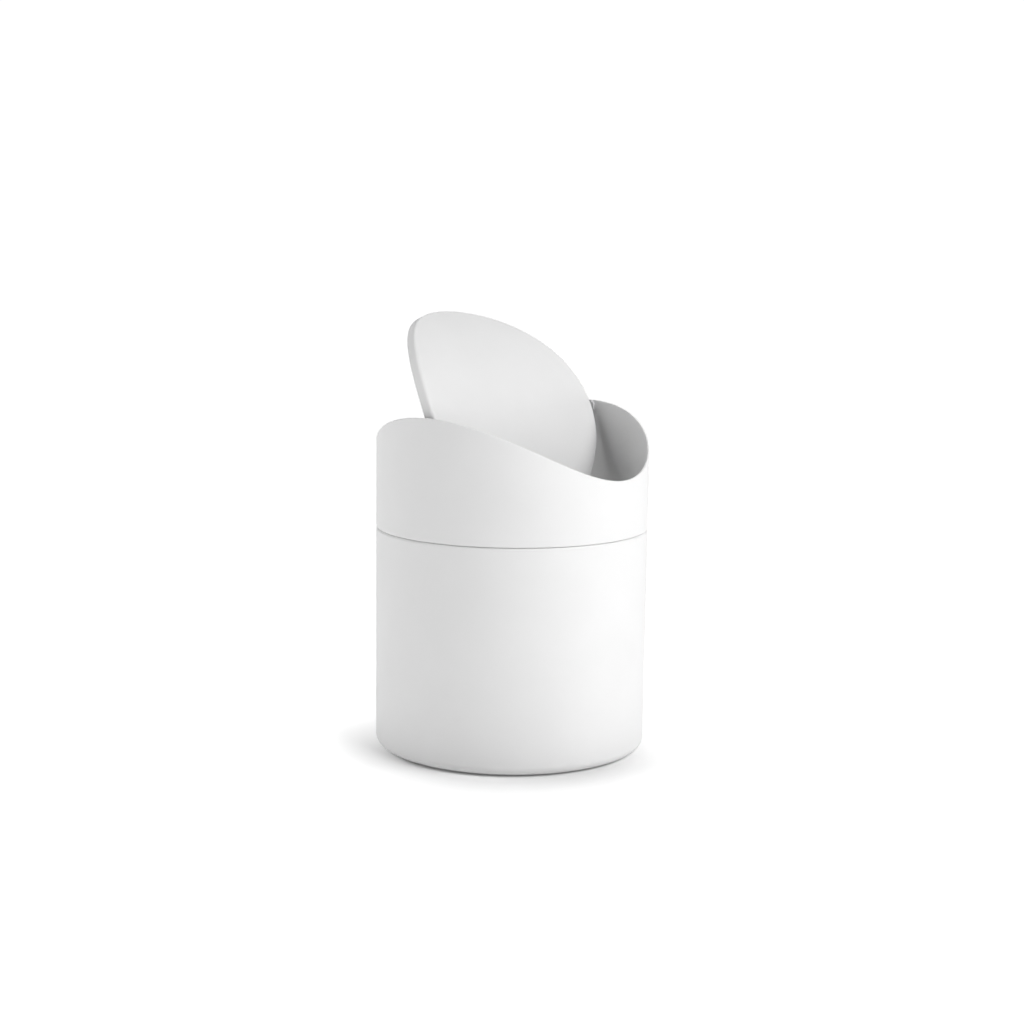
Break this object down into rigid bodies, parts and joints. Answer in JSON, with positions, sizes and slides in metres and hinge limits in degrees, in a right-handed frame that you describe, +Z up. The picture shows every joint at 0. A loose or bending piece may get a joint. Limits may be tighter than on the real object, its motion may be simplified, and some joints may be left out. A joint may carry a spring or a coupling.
{
  "type": "swing-lid table bin",
  "caption": "Small round table-top waste bin: a coated steel bucket, a lift-off collar with a saddle-shaped rim, and an arched lid that swings on pins.",
  "frame": {"origin": "centre of the underside, on the surface that the bin stands on", "axes": "+Z up; X runs along the lid's pivot axis, through the two high points of the rim; -Y and +Y point to the two low points of the rim, and the lid's raised half leans over +Y at rest"},
  "size_m": [0.12, 0.12, 0.1911],
  "materials": {
    "coated_steel": "satin white powder coat with a very fine texture",
    "pad_rubber": "matt foam rubber, fine closed cells",
    "boss_steel": "light grey coated steel",
    "pin_steel": "plain turned steel",
    "bush_nylon": "natural nylon"
  },
  "bodies": {
    "bucket": {"bucket_wall": "coated_steel", "bucket_floor": "coated_steel", "base_pad": "pad_rubber"},
    "collar": {"collar_wall": "coated_steel", "collar_neck_ring": "coated_steel", "pivot_boss_left": "boss_steel", "pivot_boss_right": "boss_steel", "pivot_pin_left": "pin_steel", "pivot_pin_right": "pin_steel"},
    "lid": {"lid_panel": "coated_steel", "lid_bush_left": "bush_nylon", "lid_bush_right": "bush_nylon"}
  },
  "joints": [
    {"name": "collar_lift", "type": "slide", "parent": "bucket", "child": "collar", "axis": [0, 0, 1], "range_m": [0, 0.04]},
    {"name": "lid_swing", "type": "hinge", "parent": "collar", "child": "lid", "pos_m": [0, 0, 0.1472], "axis": [1, 0, 0], "range_deg": [-156, 24]}
  ]
}
